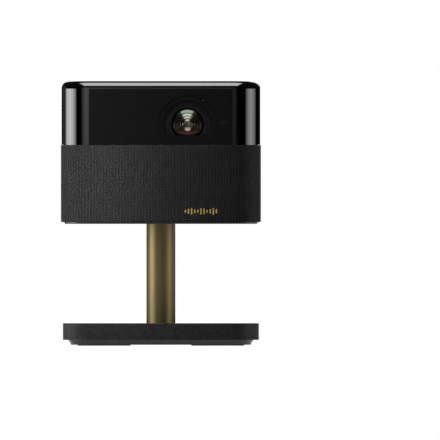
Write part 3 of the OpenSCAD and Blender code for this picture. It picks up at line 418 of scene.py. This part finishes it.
def speaker_fabric():
    """Black acoustic cloth: a grid of knots that step sideways row by row, on faint upright ribs."""
    look = Look("speaker_fabric", specular_ior_level=0.04, sheen_weight=0.12, sheen_roughness=0.3)
    uv = look.add("ShaderNodeUVMap", uv_map="cloth")
    split = look.add("ShaderNodeSeparateXYZ")
    look.link(uv.outputs[0], split.inputs[0])
    wale = look.math("COSINE", look.math("MULTIPLY", split.outputs["X"], 2 * math.pi / WALE_PITCH))
    course = look.math("COSINE", look.math("MULTIPLY", split.outputs["Y"], 2 * math.pi / COURSE_PITCH))
    knots = look.math("MULTIPLY", wale, course)
    slub = look.noise(620, 2, 0.6, (1, 1, 0.12))
    fuzz = look.noise(1500, 3, 0.7)
    patch = look.noise(60, 4, 0.6)
    weave = look.math("ADD", look.math("MULTIPLY", knots, 0.29), look.math("MULTIPLY", wale, 0.1))
    rough_weave = look.math("ADD", weave, look.math("MULTIPLY", fuzz, 0.5))
    height = look.math("ADD", rough_weave, look.math("MULTIPLY", slub, 0.5))
    look.colour(look.ramp(height, (0.1, grey(0.016)), (0.5, grey(0.045)), (0.95, grey(0.1))))
    look.rough(look.math("ADD", look.span(height, 0.1, -0.1, 0.1, 0.9), look.span(patch, 0.5, 0.6)))
    look.bump(height, 0.8, 0.3 * MM)
    return look.mat


def textured_black():
    """Fine speckled texture of the base slab."""
    look = Look("textured_black", specular_ior_level=0.13)
    pebbles = look.cells(1150)
    fine = look.noise(1900, 3, 0.65)
    patch = look.noise(220, 4, 0.6)
    height = look.math("ADD", look.math("MULTIPLY", pebbles, 0.7), look.math("MULTIPLY", fine, 0.5))
    tone = look.math("ADD", look.math("MULTIPLY", height, 0.5), look.math("MULTIPLY", patch, 0.5))
    look.colour(look.ramp(tone, (0.32, grey(0.014)), (0.68, grey(0.08))))
    look.rough(look.span(patch, 0.4, 0.52))
    look.bump(height, 0.7, 0.12 * MM)
    return look.mat


def champagne_metal():
    """Satin champagne-gold anodised tube, with fine lengthwise brushing."""
    look = Look("champagne_metal", metallic=1.0)
    brush = look.noise(900, 2, 0.5, (1, 1, 0.03))
    grain = look.noise(2600, 2)
    tone = look.math("ADD", look.math("MULTIPLY", brush, 0.7), look.math("MULTIPLY", grain, 0.3))
    look.colour(look.ramp(tone, (0.3, (0.106, 0.084, 0.0385)), (0.7, (0.134, 0.1065, 0.049))))
    look.rough(look.span(grain, 0.42, 0.49))
    look.bump(tone, 0.12, 0.02 * MM)
    return look.mat


def circuit_board():
    """Green solder mask over a maze of tracks."""
    look = Look("circuit_board", IOR=1.5)
    tracks = look.cells(260, (1, 1, 1), "F2")
    look.colour(look.ramp(tracks, (0.35, (0.006, 0.05, 0.02)), (0.5, (0.012, 0.1, 0.04)),
                          (0.8, (0.005, 0.04, 0.018))))
    look.rough(look.span(look.noise(120), 0.25, 0.4))
    look.bump(tracks, 0.3, 0.05 * MM)
    return look.mat


# Radius of the glass that shows, and the tints of its halo at the bottom, in the middle and at the top,
# painted by height onto its reflections
LENS_REACH = 15.9 * MM
PAINTED_HALO_TINTS = ((0.13, 0.05, 0.05), (0.05, 0.047, 0.036), (0.05, 0.062, 0.045))


def coated_glass_with_painted_shade(name, aperture, top, bottom, roughness, middle, haze, share):
    """A coated lens face, its tint painted by height. It mirrors in one tint high up, in another low down,
    and a middling share between: a painted shade that dims the side lights' reflections there.

    aperture is how far the face reaches above and below the lens axis. A rough coat on top spreads the same
    reflections into a soft halo: share sets how much of PAINTED_HALO_TINTS's tints it has, and haze its
    roughness. Those tints are painted by height: a burgundy band low down that colours the floor's
    reflection, and a dim olive tint in the middle.
    """
    look = Look(name, metallic=1.0)
    split = look.add("ShaderNodeSeparateXYZ")
    look.link(look.coords.outputs["Object"], split.inputs[0])
    up = look.span(split.outputs["Z"], 0.0, 1.0, lens_z - aperture, lens_z + aperture)
    # Painted by height: one reflection tint above, another below, and a darkened middle, a painted shade over
    # the side lights' reflections
    tint = look.ramp(up, (0.0, bottom), (1.0, top), (0.17, shade(bottom, 0.6)), (0.3, shade(bottom, middle)),
                     (0.6, shade(top, middle)), (0.76, shade(top, 0.7)), (0.86, top))
    look.colour(tint)
    look.rough(look.span(look.noise(400, 2), roughness * 0.8, roughness * 1.2))
    halo = look.add("ShaderNodeBsdfGlossy")
    # The halo's tints are painted by height: a painted burgundy reflection low down and a dim olive tint in
    # the middle
    low, mid, high = (shade(tone, share) for tone in PAINTED_HALO_TINTS)
    place = look.span(split.outputs["Z"], 0.0, 1.0, lens_z - LENS_REACH, lens_z + LENS_REACH)
    look.link(look.ramp(place, (0.0, low), (1.0, high), (0.16, low), (0.21, shade(low, 0.45)),
                        (0.27, shade(low, 0.2)), (0.42, mid), (0.65, mid)), halo.inputs["Color"])
    look.link(look.span(look.noise(500, 2), haze * 0.9, haze * 1.1), halo.inputs["Roughness"])
    both = look.add("ShaderNodeAddShader")
    look.link(look.bsdf.outputs[0], both.inputs[0])
    look.link(halo.outputs[0], both.inputs[1])
    look.link(both.outputs[0], look.tree.nodes["Material Output"].inputs["Surface"])
    return look.mat


def badge_gold():
    """Brushed gold of the plain badge."""
    look = Look("badge_gold", metallic=1.0)
    brush = look.noise(1500, 2, 0.5, (0.05, 1, 1))
    look.colour(look.ramp(brush, (0.3, (0.42, 0.3, 0.09)), (0.7, (0.6, 0.44, 0.15))))
    look.rough(look.span(brush, 0.25, 0.4))
    look.bump(brush, 0.2, 0.02 * MM)
    return look.mat


def led_lens():
    """Milky clear plastic of the indicator."""
    look = Look("led_lens", transmission_weight=0.4, IOR=1.45)
    look.colour(look.ramp(look.noise(900), (0.3, (0.5, 0.52, 0.5)), (0.7, (0.75, 0.77, 0.75))))
    look.rough(look.span(look.noise(400), 0.25, 0.4))
    return look.mat


# Slots with a plain grained finish: the values that grained() makes each one from
GRAINED = {
    "ballast_steel": dict(colour=grey(0.09), roughness=0.45, grain=500, metallic=1.0),
    "base_plastic": dict(colour=grey(0.012), roughness=0.36, grain=1500, depth=0.02),
    "foot_rubber": dict(colour=grey(0.01), roughness=0.7, grain=1300, depth=0.06),
    "screw_steel": dict(colour=(0.35, 0.35, 0.36), roughness=0.3, grain=1200, depth=0.02, spread=0.15,
                        metallic=1.0),
    "bearing_plastic": dict(colour=(0.6, 0.58, 0.5), roughness=0.35, grain=700, depth=0.02, spread=0.1),
    "machined_steel": dict(colour=(0.5, 0.5, 0.52), roughness=0.26, grain=1600, depth=0.02, spread=0.15,
                           streak=(0.1, 1, 1), metallic=1.0),
    "washer_bronze": dict(colour=(0.5, 0.34, 0.14), roughness=0.32, grain=1400, depth=0.02, spread=0.2,
                          metallic=1.0),
    "sensor_glass": dict(colour=(0.006, 0.0055, 0.0055), roughness=0.3, grain=600, depth=0.005,
                         specular_ior_level=0.2),
    "frame_plastic": dict(colour=grey(0.02), roughness=0.5, grain=1200, depth=0.03),
    "cover_plastic": dict(colour=grey(0.014), roughness=0.42, grain=1900, depth=0.05),
    "bracket_steel": dict(colour=(0.4, 0.42, 0.44), roughness=0.35, grain=300, depth=0.02, spread=0.2,
                          metallic=1.0),
    "grille_plastic": dict(colour=grey(0.012), roughness=0.4, grain=1700),
    "engine_alloy": dict(colour=(0.38, 0.39, 0.4), roughness=0.5, grain=800, depth=0.06, spread=0.2,
                         metallic=1.0),
    "chip_ceramic": dict(colour=(0.03, 0.03, 0.032), roughness=0.5, depth=0.03),
    "sink_alloy": dict(colour=(0.62, 0.62, 0.63), roughness=0.34, depth=0.03, spread=0.12,
                       streak=(1, 0.05, 1), metallic=1.0),
    "fan_plastic": dict(colour=grey(0.018), roughness=0.35, depth=0.02),
    "socket_metal": dict(colour=grey(0.6), roughness=0.28, grain=1000, depth=0.02, spread=0.12, metallic=1.0),
    "socket_plastic": dict(colour=grey(0.012), roughness=0.4, grain=1200, depth=0.03),
    "key_plastic": dict(colour=grey(0.022), roughness=0.38, grain=1800),
    "cone_paper": dict(colour=(0.03, 0.03, 0.033), roughness=0.7, grain=700, depth=0.12),
}


def make_materials():
    """One material for each slot of the record."""
    made = {
        "gloss_black": gloss_black(),
        "window_black": window_black(),
        "bezel_black": bezel_black(),
        "speaker_fabric": speaker_fabric(),
        "textured_black": textured_black(),
        "champagne_metal": champagne_metal(),
        "circuit_board": circuit_board(),
        "badge_gold": badge_gold(),
        "led_lens": led_lens(),
        # The lens glass's tints are painted by height, with a painted shade at mid-height
        "lens_glass": coated_glass_with_painted_shade("lens_glass", glass_high.z - lens_z,
                                   top=(0.04, 0.05, 0.042), bottom=(0.1, 0.05, 0.045),
                                   roughness=0.05, middle=0.14, haze=0.42, share=0.5),
    }
    for slot, values in GRAINED.items():
        made[slot] = grained(slot, **values)
    return made


materials = make_materials()
mark_print = grained("mark_print", grey(0.42), 0.5, 1500, 0.02, 0.12)


def cover(obj, material):
    """Makes a material the only one of an object."""
    obj.data.materials.clear()
    obj.data.materials.append(material)
    return obj


def dress_cad_nodes():
    for part in frame["record"]["subparts"]:
        cover(frame["nodes"][part["node"]], materials[part["material_slot"]])


# ---------------------------------------------------------------- geometry helpers

# Angles in degrees above which an edge is left sharp: on boxes and strips, and on the cloth
BOX_SHARP = 35
CLOTH_SHARP = 50


def add_mesh(name, points, faces, slot, body, replaces=None, sharp=None):
    """A smooth-shaded piece that rides on a body. Edges sharper than that many degrees stay sharp."""
    mesh = bpy.data.meshes.new(name)
    mesh.from_pydata([tuple(p) for p in points], [], faces)
    mesh.validate()
    for face in mesh.polygons:
        face.use_smooth = True
    piece = bpy.data.objects.new(name, mesh)
    bpy.context.scene.collection.objects.link(piece)
    cover(piece, materials[slot])
    if sharp is not None:
        mesh.set_sharp_from_angle(angle=math.radians(sharp))
    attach(piece, body)
    if replaces:
        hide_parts(replaces)
    return piece


def loop_faces(rings, count, joined_ends):
    """Quads between rings of count points each. With joined ends the last ring meets the first."""
    faces = []
    for i in range(rings if joined_ends else rings - 1):
        a, b = i * count, (i + 1) % rings * count
        for j in range(count):
            k = (j + 1) % count
            faces.append((a + j, b + j, b + k, a + k))
    return faces


def end_faces(rings, count):
    """Caps for the first and the last of the rings that loop_faces joins."""
    last = (rings - 1) * count
    return [tuple(range(count)), tuple(reversed(range(last, last + count)))]


# ---------------------------------------------------------------- fabric sleeve

# Corner radius of the sleeve's plan, then the cloth's thickness, its rounded hem with a tuck behind it, and
# its rounded top lip
SLEEVE_RADIUS = 27.7 * MM
CLOTH_THICKNESS = 1.0 * MM
HEM_RADIUS = 1.5 * MM
HEM_TUCK = 0.3 * MM
LIP_RADIUS = 0.45 * MM
LIP_STEPS, FACE_ROWS, HEM_STEPS = 4, 14, 6

# Gap between the cloth's ends and the rear panel
SEAM_GAP = 0.2 * MM

# How far the gasket lies inside the cloth's face, and its section
GASKET_INSET = 3.4 * MM
GASKET_WIDTH = 1.2 * MM
GASKET_HEIGHT = 1.6 * MM


def around_head(inset, gap_half=0.0, step=3.0 * MM, corner_steps=28):
    """(point, outward normal, distance run) clockwise round the sleeve's plan, as far inside it as the inset.

    The run starts and ends at the back, on either side of a gap of that half width.
    """
    r = SLEEVE_RADIUS - inset
    half_w = (sleeve_high.x - sleeve_low.x) / 2 - inset
    half_d = (sleeve_high.y - sleeve_low.y) / 2 - inset
    corners = [(half_w - r, half_d - r, 90), (half_w - r, r - half_d, 0),
               (r - half_w, r - half_d, -90), (r - half_w, half_d - r, -180)]
    stops = [(Vector((gap_half, half_d)), Vector((0, 1)))]
    for x, y, start in corners:
        for i in range(corner_steps + 1):
            a = math.radians(start - 90 * i / corner_steps)
            normal = Vector((math.cos(a), math.sin(a)))
            stops.append((Vector((x, y)) + normal * r, normal))
    stops.append((Vector((-gap_half, half_d)), Vector((0, 1))))
    path, run = [], 0.0
    for (a, na), (b, nb) in zip(stops, stops[1:]):
        length = (b - a).length
        pieces = max(1, round(length / step))
        for i in range(pieces):
            t = i / pieces
            path.append((a.lerp(b, t), na.lerp(nb, t).normalized(), run + length * t))
        run += length
    if gap_half:
        path.append((*stops[-1], run))
    return path


def sleeve_profile():
    """Closed outline of the cloth as (inset, height) points: top lip, outer face, hem and inner face."""
    top, bottom = sleeve_high.z, sleeve_low.z
    outline = []
    for i in range(LIP_STEPS + 1):
        a = math.radians(90 * i / LIP_STEPS)
        outline.append((LIP_RADIUS * (1 - math.sin(a)), top - LIP_RADIUS * (1 - math.cos(a))))
    for i in range(1, FACE_ROWS):
        outline.append((0.0, top - LIP_RADIUS + (bottom + HEM_RADIUS - top + LIP_RADIUS) * i / FACE_ROWS))
    for i in range(HEM_STEPS + 1):
        a = math.radians(90 * i / HEM_STEPS)
        outline.append((HEM_RADIUS * (1 - math.cos(a)), bottom + HEM_RADIUS * (1 - math.sin(a))))
    outline.append((HEM_RADIUS + HEM_TUCK, bottom + HEM_TUCK))
    outline.append((CLOTH_THICKNESS, bottom + HEM_RADIUS))
    outline.append((CLOTH_THICKNESS, top))
    return outline


def add_sleeve():
    """The cloth round the head, from one side of the rear panel to the other. Its UVs lay it out flat."""
    path, outline = around_head(0.0, panel_high.x + SEAM_GAP), sleeve_profile()
    points, cloth = [], []
    for place, normal, run in path:
        for inset, z in outline:
            at = place - normal * inset
            points.append((at.x, at.y, z))
            cloth.append((run, z))
    faces = loop_faces(len(path), len(outline), False) + end_faces(len(path), len(outline))
    faces = [tuple(reversed(face)) for face in faces]
    sleeve = add_mesh("woven_sleeve", points, faces, "speaker_fabric", "head", "fabric_sleeve", CLOTH_SHARP)
    layer = sleeve.data.uv_layers.new(name="cloth")
    for loop in sleeve.data.loops:
        layer.data[loop.index].uv = cloth[loop.vertex_index]


def add_gasket():
    """Foam strip inside the joint between the shell and the frame, so that no light shows through it."""
    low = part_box("lower_frame")[1].z
    high = low + GASKET_HEIGHT
    section = ((0.0, low), (0.0, high), (GASKET_WIDTH, high), (GASKET_WIDTH, low))
    points = []
    path = around_head(GASKET_INSET)
    for place, normal, _ in path:
        for inset, z in section:
            at = place - normal * inset
            points.append((at.x, at.y, z))
    faces = loop_faces(len(path), len(section), True)
    add_mesh("joint_gasket", points, faces, "frame_plastic", "head", sharp=BOX_SHARP)


# ---------------------------------------------------------------- lens

# How far below the axis the glass is cut flat, and the steps across and round each face
LENS_FLAT = 10.9 * MM
RING_STEPS = 14
ROUND_STEPS = 96

# Round edges of the faces from the outside in, each (height of its centre above the axis, radius), in mm
LENS_EDGES = ((0.0, LENS_REACH / MM), (1.9, 9.4), (0.7, 8.0), (-0.8, 6.5), (-2.35, 4.95), (-2.35, 0.02))

# Faces from the outside in: name, how far the middle lies behind the glass's front and the curve's radius
# in mm, whether the face is hollow, then coated_glass_with_painted_shade's top, bottom, roughness, middle, haze and share
# top and bottom are reflection tints painted by height, and middle is the share of them left at mid-height, a
# painted shade
LENS_FACES = (
    ("outer", 0.0, 26, False, (0.022, 0.027, 0.023), (0.11, 0.045, 0.042), 0.05, 0.14, 0.4, 0.24),
    ("second", 0.0, 20, False, (0.045, 0.048, 0.044), (0.06, 0.028, 0.022), 0.13, 0.12, 0.38, 0.36),
    ("third", -0.6, 13, False, (0.032, 0.032, 0.03), (0.05, 0.03, 0.018), 0.17, 0.12, 0.36, 0.5),
    ("fourth", -0.6, 8, False, (0.036, 0.038, 0.033), (0.05, 0.04, 0.026), 0.2, 0.4, 0.36, 0.7),
    ("rear", 3.5, 9.8, True, (0.08, 0.08, 0.062), (0.04, 0.034, 0.031), 0.22, 0.9, 0.45, 0.85),
)


def lens_outline(centre, radius, turn):
    """(x, z) from the lens axis of a point on a round edge, whose centre may be above or below the axis.

    The flat cuts the edge off below.
    """
    x, z = radius * math.cos(turn), centre + radius * math.sin(turn)
    if z < -LENS_FLAT:
        x, z = x * -LENS_FLAT / z, -LENS_FLAT
    return x, z


def lens_face(name, apex, curve, outer, inner, coat, hollow=False, replaces=None):
    """One visible face of a lens, between two round edges that are each (centre height, radius)."""
    points = []
    for i in range(RING_STEPS + 1):
        t = i / RING_STEPS
        for j in range(ROUND_STEPS):
            turn = 2 * math.pi * j / ROUND_STEPS
            x0, z0 = lens_outline(*inner, turn)
            x1, z1 = lens_outline(*outer, turn)
            x, z = x0 + (x1 - x0) * t, z0 + (z1 - z0) * t
            sag = curve - math.sqrt(curve * curve - x * x - z * z)
            points.append((lens_x + x, apex - sag if hollow else apex + sag, lens_z + z))
    faces = loop_faces(RING_STEPS + 1, ROUND_STEPS, False)
    cover(add_mesh(name, points, faces, "lens_glass", "head", replaces), coat)


def add_lens():
    """A nest of coated faces with crescents between them. Each mirrors the overhead light at its own size."""
    for i, (name, sink, curve, hollow, *coating) in enumerate(LENS_FACES):
        centre, radius = LENS_EDGES[i]
        coat = coated_glass_with_painted_shade("coat_" + name, (abs(centre) + radius) * MM, *coating)
        outer, inner = ([value * MM for value in edge] for edge in LENS_EDGES[i:i + 2])
        lens_face(f"lens_{name}_face", glass_low.y + sink * MM, curve * MM, outer, inner, coat, hollow,
                  "front_glass" if name == "outer" else None)


# ---------------------------------------------------------------- rear details

# A tongue starts and ends this far inside its socket's box, and its contacts this far inside its own ends.
TONGUE_BACK, TONGUE_FRONT = 1.9 * MM, 1.6 * MM
CONTACT_BACK, CONTACT_FRONT = 1.0 * MM, 0.6 * MM

# Contacts under a tongue: how many, half a contact's width as a share of their pitch, and how far each stands
# out of the tongue and sinks into it
CONTACTS = 5
CONTACT_HALF_SHARE = 0.28
CONTACT_PROUD, CONTACT_SUNK = 0.12 * MM, 0.05 * MM

# Marks on the keys: half the length and half the width of a stroke, how far it stands proud, and by what
# share the upright of the plus stands prouder
MARK_LONG, MARK_LINE = 1.5 * MM, 0.28 * MM
MARK_PROUD = 0.06 * MM
MARK_STEP = 0.2

# Volume keys: node, body, and whether the mark has an upright
VOLUME_KEYS = (("volume_down_key", "volume_down", False), ("volume_up_key", "volume_up", True))

# Power sign: radius of the ring, half the angle of its opening, and how far above the middle its bar starts
SIGN_RADIUS = 2.6 * MM
SIGN_OPENING = math.radians(36)
SIGN_STEPS = 40
SIGN_BAR_LOW = 0.6 * MM

# Bevels of box edges
BOX_SOFTEN = 0.15 * MM
CONTACT_SOFTEN = 0.04 * MM
MARK_SOFTEN = 0.03 * MM


def add_box(name, low, high, slot, body, soften=BOX_SOFTEN):
    """A box with softened edges."""
    points = [(x, y, z) for x in (low[0], high[0]) for y in (low[1], high[1]) for z in (low[2], high[2])]
    faces = [(0, 1, 3, 2), (4, 6, 7, 5), (0, 4, 5, 1), (2, 3, 7, 6), (0, 2, 6, 4), (1, 5, 7, 3)]
    piece = add_mesh(name, points, faces, slot, body, sharp=BOX_SHARP)
    bevel = piece.modifiers.new("soften", "BEVEL")
    bevel.width = soften
    bevel.segments = 3
    return piece


def add_tongue(name, node, width, height, rise):
    """Contact tongue inside a socket, above its middle, with a row of contacts on its underside."""
    low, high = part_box(node)
    x, z = face_middle(low, high)
    z += rise
    back, front = low.y + TONGUE_BACK, high.y - TONGUE_FRONT
    add_box(name, (x - width / 2, back, z - height / 2), (x + width / 2, front, z + height / 2),
            "socket_plastic", "head")
    pitch = width / (CONTACTS + 1)
    half = pitch * CONTACT_HALF_SHARE
    under = z - height / 2
    for i in range(CONTACTS):
        at = x + (i - (CONTACTS - 1) / 2) * pitch
        low = (at - half, back + CONTACT_BACK, under - CONTACT_PROUD)
        high = (at + half, front - CONTACT_FRONT, under + CONTACT_SUNK)
        add_box(f"{name}_contact_{i + 1}", low, high, "socket_metal", "head", CONTACT_SOFTEN)


def add_bar(name, x, low_z, high_z, half_w, face_y, proud, body):
    """One straight stroke of a mark, printed on the rear face of a key."""
    cover(add_box(name, (x - half_w, face_y - MARK_PROUD, low_z), (x + half_w, face_y + proud, high_z),
                  "key_plastic", body, MARK_SOFTEN), mark_print)


def add_volume_marks():
    """A minus and a plus on the volume keys. The plus's upright stands a little prouder than its crossbar."""
    for node, body, upright in VOLUME_KEYS:
        low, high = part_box(node)
        x, z = face_middle(low, high)
        bars = [(MARK_LONG, MARK_LINE)] + ([(MARK_LINE, MARK_LONG)] if upright else [])
        for i, (half_w, half_h) in enumerate(bars):
            proud = MARK_PROUD * (1 + MARK_STEP * i)
            add_bar(f"{node}_mark_{i + 1}", x, z - half_h, z + half_h, half_w, high.y, proud, body)


def add_power_sign():
    """A plain power sign: an open ring with a bar in its opening."""
    low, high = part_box("power_button")
    x, z = face_middle(low, high)
    inner, outer = SIGN_RADIUS - MARK_LINE, SIGN_RADIUS + MARK_LINE
    sunk, proud = high.y - MARK_PROUD, high.y + MARK_PROUD
    section = ((inner, sunk), (inner, proud), (outer, proud), (outer, sunk))
    points = []
    for i in range(SIGN_STEPS + 1):
        a = math.pi / 2 + SIGN_OPENING + (2 * math.pi - 2 * SIGN_OPENING) * i / SIGN_STEPS
        points += [(x + r * math.cos(a), y, z + r * math.sin(a)) for r, y in section]
    rings, count = SIGN_STEPS + 1, len(section)
    faces = loop_faces(rings, count, False) + end_faces(rings, count)
    ring = add_mesh("power_sign_ring", points, faces, "key_plastic", "power_key", sharp=BOX_SHARP)
    cover(ring, mark_print)
    add_bar("power_sign_bar", x, z + SIGN_BAR_LOW, z + outer, MARK_LINE, high.y, MARK_PROUD, "power_key")


def add_rear_details():
    """Tongues with contacts in the two sockets, and the marks on the keys."""
    add_tongue("hdmi_tongue", "hdmi_socket", 10.6 * MM, 1.2 * MM, 0.3 * MM)
    add_tongue("usb_tongue", "usb_socket", 11.0 * MM, 1.9 * MM, 1.4 * MM)
    add_volume_marks()
    add_power_sign()


# ---------------------------------------------------------------- the object

def build():
    """The CAD nodes in their materials, then the new pieces."""
    dress_cad_nodes()
    add_sleeve()
    add_gasket()
    add_lens()
    add_rear_details()


add_camera()
add_world()
add_lights()
add_floor()
build()
# Colours as they are, so that the background stays white
bpy.context.scene.view_settings.view_transform = "Standard"
